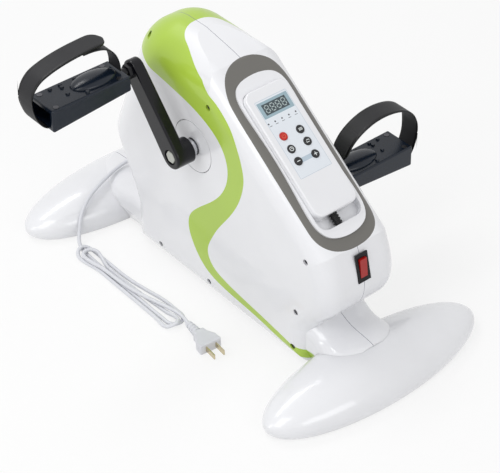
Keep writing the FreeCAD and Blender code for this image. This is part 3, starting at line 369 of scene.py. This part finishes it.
def display_finish():
    """Blue-grey surround, dark field and pale digits under a clear cover."""
    finish = Finish("display_face", DISPLAY_SURROUND, 0.22, Coat_Weight=0.3, Coat_Roughness=0.05)
    x, v = console_plane(finish)
    field = inside_box(x, v, DISPLAY_MIDDLE, DISPLAY_FIELD_HALF)
    digits = either([digit(x, v, across) for across in DIGIT_SPOTS])
    shade = finish.blend(field, DISPLAY_SURROUND, DISPLAY_DARK)
    return finish.set("Base Color", finish.blend(digits, shade, DISPLAY_PALE))


FACE_FINISHES = {"lcd_window": display_finish()}
print(len(DIGIT_SPOTS), "digits on the display")

# %% [markdown]
# ## Printed panel
# A pale film covers the handset's face. It has a thin frame round its edge, a short dark bar
# under each of the five lamps, and a blue-grey bar that joins the last two keys.

# %% Panel
PANEL_MIDDLE = (0, 99.0)
PANEL_FRAME_HALF = (21.7, 47.7)
PANEL_FRAME_WIDTH = 0.5
PANEL_FILM = (0.74, 0.78, 0.83)
PANEL_FRAME_BLUE = (0.52, 0.57, 0.63)
PANEL_LINK_BLUE = (0.47, 0.56, 0.64)
PANEL_PRINT = (0.10, 0.11, 0.12)
LAMPS_ACROSS = (-20.0, -11.0, -1.5, 8.0, 17.5)
LAMP_BAR_DOWN = 81.5
LAMP_BAR_HALF = (1.9, 0.28)
# The bars stand a little closer together than the lamps.
LAMP_BAR_SPREAD = 0.93
KEY_LINK = ((-1, 128.6), (13.0, 2.6))


def panel_finish():
    """Pale film with a thin frame, bars under the lamps and a bar between the last two keys."""
    finish = moulded("panel_film", PANEL_FILM, 0.35)
    x, v = console_plane(finish)
    inner_half = [half - PANEL_FRAME_WIDTH for half in PANEL_FRAME_HALF]
    frame_line = (inside_box(x, v, PANEL_MIDDLE, PANEL_FRAME_HALF)
                  - inside_box(x, v, PANEL_MIDDLE, inner_half))
    bars = either([inside_box(x, v, (across * LAMP_BAR_SPREAD, LAMP_BAR_DOWN), LAMP_BAR_HALF)
                   for across in LAMPS_ACROSS])
    shade = finish.blend(inside_box(x, v, *KEY_LINK), PANEL_FILM, PANEL_LINK_BLUE)
    shade = finish.blend(frame_line, shade, PANEL_FRAME_BLUE)
    return finish.set("Base Color", finish.blend(bars, shade, PANEL_PRINT))


FACE_FINISHES["remote_panel"] = panel_finish()
print(len(LAMPS_ACROSS), "bars printed under the lamps")

# %% [markdown]
# ## Key tops
# Six round keys stand out of the panel, five black and one red. Each carries a plain sign made
# of a few bars, and two of them also have a ring. Real keys are printed or moulded in two
# colours, so the sign is only colour here and the key top stays smooth.

# %% Key tops
BLACK_KEY = (0.008, 0.008, 0.009)
RED_KEY = (0.50, 0.012, 0.006)
BLACK_KEY_SIGN = (0.72, 0.76, 0.76)
RED_KEY_SIGN = (0.62, 0.10, 0.05)
KEY_ROUGHNESS = 0.32
RING_RADIUS = 2.2
RING_HALF_WIDTH = 0.4
RING_OPENING = 1.6
# The bars of each sign: middle of the bar, seen from the key's middle, and its half size.
SIGN_BARS = {
    "minus": [((0, 0), (2.2, 0.45))],
    "plus": [((0, 0), (2.2, 0.45)), ((0, 0), (0.45, 2.2))],
    "timer": [((0, -0.8), (0.3, 0.9)), ((0.6, 0), (0.8, 0.3))],
    "direction": [((0.3, -1.3), (1.9, 0.35)), ((-0.3, 1.3), (1.9, 0.35)),
                  ((1.9, -0.8), (0.35, 0.8)), ((-1.9, 0.8), (0.35, 0.8))],
    "mode": [((0, lift), (2.4, 0.3)) for lift in (-1.1, 0, 1.1)],
    "start": [((0, -1.5), (0.35, 1.3))],
}
# Where each key is on the console plane, and its sign.
KEYS = {
    "key_start_stop": ((-12.0, 97.0), "start"),
    "key_mode": ((10.5, 98.0), "mode"),
    "key_direction": ((10.5, 113.0), "direction"),
    "key_timer": ((-12.0, 113.0), "timer"),
    "key_minus": ((-12.5, 128.0), "minus"),
    "key_plus": ((10.5, 129.0), "plus"),
}


def sign_ring(x, v, centre):
    """Thin ring round a key's middle."""
    across, down = x - centre[0], v - centre[1]
    squares = across * across + down * down
    return abs(squares.math("SQRT", squares) - RING_RADIUS) < RING_HALF_WIDTH


def key_finish(name, centre, sign):
    """Key top with its plain sign: bars, and a ring that is open at its top on the start key."""
    base, pale = (RED_KEY, RED_KEY_SIGN) if sign == "start" else (BLACK_KEY, BLACK_KEY_SIGN)
    finish = Finish(name, base, KEY_ROUGHNESS)
    x, v = console_plane(finish)
    marks = [inside_box(x, v, (centre[0] + dx, centre[1] + dv), half)
             for (dx, dv), half in SIGN_BARS[sign]]
    if sign == "timer":
        marks.append(sign_ring(x, v, centre))
    if sign == "start":
        marks.append(sign_ring(x, v, centre) * (v > centre[1] - RING_OPENING))
    return finish.set("Base Color", finish.blend(either(marks), base, pale))


for node, (centre, sign) in KEYS.items():
    FACE_FINISHES[node] = key_finish(node + "_top", centre, sign)
print(len(KEYS), "key tops")

# %% [markdown]
# ## The seam of the housing
# The left and right halves of the housing meet in a fine dark line along the middle. The halves
# are separate solids that touch there, too tight for their gap to show, so the line is drawn
# by the finish, where the distance from the middle plane is under a third of a millimetre.

# %% Seamed housing finishes
GREEN = (0.40, 0.58, 0.055)
GREEN_COAT = {"Coat_Weight": 0.3, "Coat_Roughness": 0.08}
SEAM_HALF_WIDTH = 0.00028
SEAM_SHADE = (0.13, 0.14, 0.20)


def seamed(finish):
    """Hairline where the left and right halves of the housing meet."""
    x = finish.axes()[0]
    under = Signal(finish, finish.shader.inputs["Base Color"].links[0].from_socket)
    seam = abs(x) < SEAM_HALF_WIDTH
    return finish.set("Base Color", finish.blend(seam, under, SEAM_SHADE))


SEAMED_WHITE = seamed(moulded("housing_white", WHITE, SHELL_ROUGHNESS, **WHITE_COAT))
SEAMED_GREEN = seamed(moulded("housing_green", GREEN, SHELL_ROUGHNESS, **GREEN_COAT))
for word in ("left", "right"):
    FACE_FINISHES[word + "_shell"] = SEAMED_WHITE
    FACE_FINISHES[word + "_crank_cover"] = SEAMED_WHITE
    FACE_FINISHES[word + "_green_band"] = SEAMED_GREEN
    FACE_FINISHES[word + "_pedal_axle"] = FINISHES["black_paint"]
print(len(FACE_FINISHES), "nodes with a finish of their own")

# %% [markdown]
# ## Dress the CAD nodes
# Every CAD node names a material slot in the frame's record. A node with a finish of its own
# wears that, and every other node wears its slot's finish. The CAD meshes stay as they are.

# %% Dress the CAD nodes
def wear(piece, finish):
    """Give a piece one finish all over."""
    piece.data.materials.clear()
    piece.data.materials.append(finish.material)


for part in frame["record"]["subparts"]:
    node = part["node"]
    wear(NODES[node], FACE_FINISHES.get(node) or FINISHES[part["material_slot"]])
print("every CAD node has a finish")

# %% [markdown]
# ## The mains lead
# The lead leaves a ribbed sleeve at the back of the housing, drops over the far foot and is
# folded into a hank on the floor. A lead is one length of one thing, so it is a single NURBS
# curve: listed points for the free stretch and the strands, and a function for the folds,
# because each fold is the same half oval between two strands. All of it is in millimetres.

# %% Route of the mains lead
FLOOR_LEVEL = 2.6

FREE_ROUTE = [
    (12, 168, 80), (12, 184, 79), (10, 198, 70), (0, 207, 60.5), (-13, 211, 55),
    (-27, 210, 52.5), (-41, 206, 51.5), (-54, 202, 50), (-66, 199, 47), (-77, 196, 42.5),
    (-88, 192, 36), (-97, 187, 27), (-104, 181, 15.5), (-110, 175, 6), (-114, 165, FLOOR_LEVEL),
    (-115, 152, FLOOR_LEVEL), (-116, 138, FLOOR_LEVEL),
]
# Each strand of the hank: x at five stations along it, and the height that it lies at.
STATIONS = (112, 82, 52, 26, 4)
STRANDS = [
    ((-116.4, -117.2, -117.0, -117.4, -117.2), FLOOR_LEVEL),
    ((-105.4, -105.2, -101.0, -96.2, -96.4), FLOOR_LEVEL),
    ((-121.4, -122.2, -122.0, -122.4, -122.4), FLOOR_LEVEL),
    ((-111.4, -111.4, -110.2, -108.4, -107.4), FLOOR_LEVEL),
    ((-119.2, -118.6, -115.5, -109.0, -103.0), 7.3),
]
FAR, NEAR = 1, -1
LEAD_IN = 5.0


def fold(start_x, end_x, y, depth, way, heights):
    """Half an oval from one strand's x to the next one's, with a straight lead-in and lead-out."""
    middle, reach = (start_x + end_x) / 2, (end_x - start_x) / 2
    points = [(start_x, y - way * LEAD_IN, heights[0])]
    for step, height in enumerate(heights):
        angle = math.pi * step / (len(heights) - 1)
        points.append((middle - reach * math.cos(angle), y + way * depth * math.sin(angle), height))
    points.append((end_x, y - way * LEAD_IN, heights[-1]))
    return points


# The fold after each strand; the later ones lie on the earlier ones. The last goes to the plug.
FOLDS = [
    fold(-117.4, -96.4, -7.5, 10.5, NEAR, [FLOOR_LEVEL] * 7),
    fold(-105.4, -126.2, 151.5, 10.5, FAR, [2.8, 4.0, 6.6, 8.0, 6.6, 4.2, 2.8])
    + [(-125, 136, FLOOR_LEVEL), (-122.9, 126, FLOOR_LEVEL)],
    fold(-124.4, -106.4, -11, 9.8, NEAR, [2.9, 4.2, 6.4, 7.8, 8.0, 7.3, 5.6]),
    [(-111, 118, 3.6), (-108.8, 129, 6.8)]
    + fold(-106.6, -124, 143.5, 9, FAR, [7.8] * 7)
    + [(-122.8, 129, 7.6), (-120.6, 120, 7.4)],
    [(-101, -10, 7.4), (-101.6, -20, 7.2), (-103.5, -28.2, 7.0)],
]


def lead_points():
    """Control points of the whole lead, in metres: the free stretch, then strands and folds."""
    points = list(FREE_ROUTE)
    for turn, (across, height) in enumerate(STRANDS):
        strand = [(x, y, height) for x, y in zip(across, STATIONS)]
        towards_far_end = turn % 2 == 1
        points += strand[::-1] if towards_far_end else strand
        points += FOLDS[turn]
    return [Vector(point) / 1000 for point in points]


route = lead_points()
hull_length = sum((after - before).length for before, after in zip(route, route[1:]))
print("lead hull", round(hull_length, 3), "m in", len(route), "points")

# %% [markdown]
# ## A round lead from its route
# The route's points are the control points of the curve, which passes inside them as a soft
# lead does. The curve's own bevel gives it a round section, so its thickness is even all along.
# The plug's body and pins are the ones that the CAD model has already.

# %% Mains lead
CORD_DIAMETER = 0.0046
STEPS_PER_POINT = 6
SECTION_STEPS = 5
CURVE_ORDER = 3


def add_lead(name, points, diameter):
    """One smooth curve inside the points' hull, with a round section."""
    curve = bpy.data.curves.new(name, "CURVE")
    curve.dimensions = "3D"
    curve.resolution_u = STEPS_PER_POINT
    curve.bevel_depth = diameter / 2
    curve.bevel_resolution = SECTION_STEPS
    curve.use_fill_caps = True
    spline = curve.splines.new("NURBS")
    spline.points.add(len(points) - 1)
    for knot, point in zip(spline.points, points):
        knot.co = (*point, 1)
    spline.order_u = CURVE_ORDER
    spline.use_endpoint_u = True
    lead = bpy.data.objects.new(name, curve)
    bpy.context.scene.collection.objects.link(lead)
    return lead


lead = add_lead("mains_lead", route, CORD_DIAMETER)
wear(lead, FINISHES["cord_sheath"])
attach(lead, "base")
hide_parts("power_cord", "cord_hank")

# %% [markdown]
# ## Toe straps
# Each pedal carries a moulded band that hooks on the pedal's outer end, arches over the foot and
# ends in a round tab, and a short lower band that rises from the inner end and passes under the
# tab. Each band follows a line of a few points, seen from the side. A Catmull-Rom curve passes
# through all of them, so the points can be read as places that the band touches, and points at
# even distances on it keep the faces of the band square.

# %% A line for a strap
CURVE_STEPS = 12


def smooth_line(points, count):
    """Evenly spaced points on a Catmull-Rom curve through the given ones."""
    ends = [points[0] * 2 - points[1]] + points + [points[-1] * 2 - points[-2]]
    fine = []
    for before, first, second, after in zip(ends, ends[1:], ends[2:], ends[3:]):
        for step in range(CURVE_STEPS):
            t = step / CURVE_STEPS
            fine.append(0.5 * (2 * first + (second - before) * t
                               + (2 * before - 5 * first + 4 * second - after) * t ** 2
                               + (3 * first - before - 3 * second + after) * t ** 3))
    fine.append(points[-1])
    lengths = [0.0]
    for before, after in zip(fine, fine[1:]):
        lengths.append(lengths[-1] + (after - before).length)
    spaced = []
    index = 0
    for step in range(count):
        wanted = lengths[-1] * step / (count - 1)
        while index < len(fine) - 2 and lengths[index + 1] < wanted:
            index += 1
        share = (wanted - lengths[index]) / (lengths[index + 1] - lengths[index])
        spaced.append(fine[index].lerp(fine[index + 1], min(share, 1.0)))
    return spaced


print("strap lines ready")

# %% [markdown]
# ## From a line to a band
# A band is a flat grid bent along its line, then given a thickness and soft edges. A grid keeps
# its rows in order, so one list of half widths along the line is enough to shape the round tab.

# %% A band along a line
ACROSS = 8
SHARP_EDGE = math.radians(60)
TIP_SHARE = 0.12


def band_mesh(line, half_widths, thickness, edge):
    """Strip along a line in the XZ plane; half_widths gives its half width at each point."""
    mesh = bmesh.new()
    rows = len(line)
    bmesh.ops.create_grid(mesh, x_segments=rows - 1, y_segments=ACROSS, size=1)
    for vert in mesh.verts:
        row = round((vert.co.x + 1) / 2 * (rows - 1))
        vert.co = line[row] + Vector((0, vert.co.y * half_widths[row], 0))
    bmesh.ops.solidify(mesh, geom=mesh.faces[:], thickness=thickness)
    rim = [item for item in mesh.edges if item.calc_face_angle(0) > SHARP_EDGE]
    bmesh.ops.bevel(mesh, geom=rim, offset=edge, offset_type="OFFSET", affect="EDGES", segments=2,
                    profile=0.5, material=-1)
    bmesh.ops.recalc_face_normals(mesh, faces=mesh.faces[:])
    return mesh


def round_end(count, half, step):
    """Half widths of a strip whose last end is a half circle, but never closes to a point."""
    widths = []
    for index in range(count):
        run = min((count - 1 - index) * step / half, 1.0)
        widths.append(half * max(math.sqrt(1 - (1 - run) ** 2), TIP_SHARE))
    return widths


def add_mesh_object(name, mesh, finishes):
    """Turn a bmesh into a smooth-shaded object at the origin."""
    data = bpy.data.meshes.new(name)
    for face in mesh.faces:
        face.smooth = True
    mesh.to_mesh(data)
    mesh.free()
    piece = bpy.data.objects.new(name, data)
    bpy.context.scene.collection.objects.link(piece)
    for finish in finishes:
        data.materials.append(finish.material)
    return piece


print("strap bands ready")

# %% [markdown]
# ## The two straps
# The lines are seen from the pedal's axle: how far out along the crank's axis, and how high, in
# millimetres. The right strap stands a little higher than the left one, as rubber straps do
# when they are buttoned in different holes. The axles' places come from the frame's joints.

# %% Toe straps
STRAP_DARK = moulded("strap_edge", (0.004, 0.004, 0.005), 0.42, Specular_IOR_Level=0.3)
STRAP_FACE = moulded("strap_face", (0.013, 0.013, 0.015), 0.6, ripple=0.00020,
                     Specular_IOR_Level=0.35)
EDGE_SLOT, FACE_SLOT = 0, 1
SIDES = {"left": -1, "right": 1}
STRAP_SHIFT = Vector((0, 0.002, 0))
MAIN_HALF_WIDTH = 0.013
MAIN_THICKNESS = 0.0026
MAIN_EDGE = 0.0006
MAIN_ROWS = 64
MAIN_RIM = 0.0035
LOWER_HALF_WIDTH = 0.0105
LOWER_THICKNESS = 0.0020
LOWER_EDGE = 0.0005
LOWER_ROWS = 28
OUTER_HOOK = [(200, -17.5), (206, -13), (212, -4), (216, 8), (217, 20)]
MAIN_LINES = {
    "left": OUTER_HOOK + [(213.5, 32), (204, 42), (190, 47.5), (174, 51), (158, 53), (142, 54),
                          (128, 54.2), (115, 53)],
    "right": OUTER_HOOK + [(215.5, 33), (209, 45), (198, 54.5), (183, 60.5), (165, 63),
                           (148, 61.5), (132, 56), (119, 47.5), (110.5, 37), (105, 25)],
}
LOWER_LINES = {
    "left": [(101.2, 10.5), (101.6, 20), (104.5, 30), (111, 39.5), (121, 46.2), (134, 49.4),
             (147, 50)],
    "right": [(101.0, 10.5), (101.0, 17), (102.6, 25), (107.2, 35.5), (115.6, 45.8), (126, 53)],
}


def strap_middle(word):
    """Where a strap's middle line crosses the middle plane of the machine."""
    joints = frame["record"]["behaviour"]["joints"]
    place = next(joint["pos_m"] for joint in joints if joint["name"] == word + "_pedal_spin")
    return Vector((0, place[1], place[2])) + STRAP_SHIFT


def strap_line(points, side, middle, count):
    """Evenly spaced points along a strap, from its (out, up) points."""
    return smooth_line([middle + Vector((side * x, 0, z)) / 1000 for x, z in points], count)


def add_main_band(word, side, middle):
    """Band from the outer hook to the round tab, with darker rims."""
    line = strap_line(MAIN_LINES[word], side, middle, MAIN_ROWS)
    widths = round_end(MAIN_ROWS, MAIN_HALF_WIDTH, (line[1] - line[0]).length)
    band = band_mesh(line, widths, side * MAIN_THICKNESS, MAIN_EDGE)
    for face in band.faces:
        on_rim = abs(face.calc_center_median().y - middle.y) > MAIN_HALF_WIDTH - MAIN_RIM
        face.material_index = EDGE_SLOT if on_rim else FACE_SLOT
    return band


def add_lower_band(word, side, middle):
    """Short band that the main one is buttoned to."""
    line = strap_line(LOWER_LINES[word], side, middle, LOWER_ROWS)
    band = band_mesh(line, [LOWER_HALF_WIDTH] * LOWER_ROWS, side * LOWER_THICKNESS, LOWER_EDGE)
    for face in band.faces:
        face.material_index = FACE_SLOT
    return band


def add_strap(word, side):
    """Both bands of one toe strap in one piece, riding on its pedal."""
    middle = strap_middle(word)
    strap_mesh = add_main_band(word, side, middle)
    lower = add_lower_band(word, side, middle)
    passed_on = bpy.data.meshes.new(word + "_lower")
    lower.to_mesh(passed_on)
    lower.free()
    strap_mesh.from_mesh(passed_on)
    bpy.data.meshes.remove(passed_on)
    strap = add_mesh_object(word + "_toe_strap", strap_mesh, [STRAP_DARK, STRAP_FACE])
    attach(strap, word + "_pedal")
    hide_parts(word + "_pedal_strap")
    return strap


for word, side in SIDES.items():
    strap = add_strap(word, side)
    print(strap.name, len(strap.data.polygons), "faces")

# %% [markdown]
# ## Studio floor
# The floor has to look white and still keep the machine's soft shadow. A brighter lamp would
# wash out the white plastic, so the floor glows by itself instead, but only on rays that come
# from the camera or from a shiny or clear surface. Its light never falls on the machine.

# %% Studio floor
BACKGROUND_RAYS = ("Is Camera Ray", "Is Glossy Ray", "Is Transmission Ray")
FLOOR_SIZE = 8.0
FLOOR_WHITE = (0.86, 0.86, 0.86)
FLOOR_GLOW = 0.75


def background_share(wiring):
    """One on rays from the camera, a shiny surface or glass, zero on all others."""
    return either([wiring.node("ShaderNodeLightPath", {}, {}, ray) for ray in BACKGROUND_RAYS])


def add_floor():
    """Wide pale floor that shows white but keeps the soft shadow."""
    mesh = bmesh.new()
    bmesh.ops.create_grid(mesh, x_segments=1, y_segments=1, size=FLOOR_SIZE / 2)
    finish = Finish("studio_floor", FLOOR_WHITE, 0.9)
    floor = add_mesh_object("studio_floor", mesh, [finish])
    surface = Signal(finish, finish.shader.outputs[0])
    glow = finish.node("ShaderNodeEmission", {}, {})
    mixed = finish.node("ShaderNodeMixShader", {},
                        [background_share(finish) * FLOOR_GLOW, surface, glow])
    finish.feed(finish.tree.nodes["Material Output"].inputs["Surface"], mixed)


add_floor()
print("floor", FLOOR_SIZE, "m wide")

# %% [markdown]
# ## Lamps and sky
# Four soft boxes light the machine: a large one over its left side, one in front, and two
# narrow strips that put a clean line of gloss along the rounded edges. An even sky fills the
# shadows, and shows as plain white behind the machine in the same way as the floor.

# %% Lamps and sky
# Name, place, the point that it is aimed at, width and height in metres, and watts.
LAMPS = [
    ("key_light", (-1.3, -0.3, 1.9), (0, 0, 0.15), (0.9, 1.4), 11.5),
    ("front_light", (-0.1, -2.0, 1.2), (0, 0, 0.15), (1.2, 0.8), 7.6),
    ("strip_light", (-0.2, 0.95, 1.75), (0, 0, 0.1), (1.1, 0.3), 8.2),
    ("side_strip", (-1.9, 0.5, 1.1), (0, 0, 0.15), (0.3, 1.0), 4.7),
]
SKY_LEVEL = 0.59


def add_softbox(name, place, target, size, power):
    """Large rectangular lamp aimed at a point."""
    data = bpy.data.lights.new(name, "AREA")
    data.shape = "RECTANGLE"
    data.size, data.size_y = size
    data.energy = power
    lamp = bpy.data.objects.new(name, data)
    bpy.context.scene.collection.objects.link(lamp)
    lamp.location = place
    lamp.rotation_euler = (Vector(target) - Vector(place)).to_track_quat("-Z", "Y").to_euler()


def set_world(level):
    """Even sky light that the camera sees as white."""
    world = bpy.data.worlds.new("studio_world")
    bpy.context.scene.world = world
    world.use_nodes = True
    sky = Wiring(world.node_tree)
    background = sky.tree.nodes["Background"]
    strength = sky.node("ShaderNodeMapRange", {},
                        {"Value": background_share(sky), "To Min": level, "To Max": 1.0})
    sky.feed(background.inputs["Color"], (1, 1, 1, 1))
    sky.feed(background.inputs["Strength"], strength)


for lamp_row in LAMPS:
    add_softbox(*lamp_row)
set_world(SKY_LEVEL)
bpy.context.scene.view_settings.view_transform = "Standard"
print(len(LAMPS), "lamps lit")

# %% End of the scene
print("scene built")
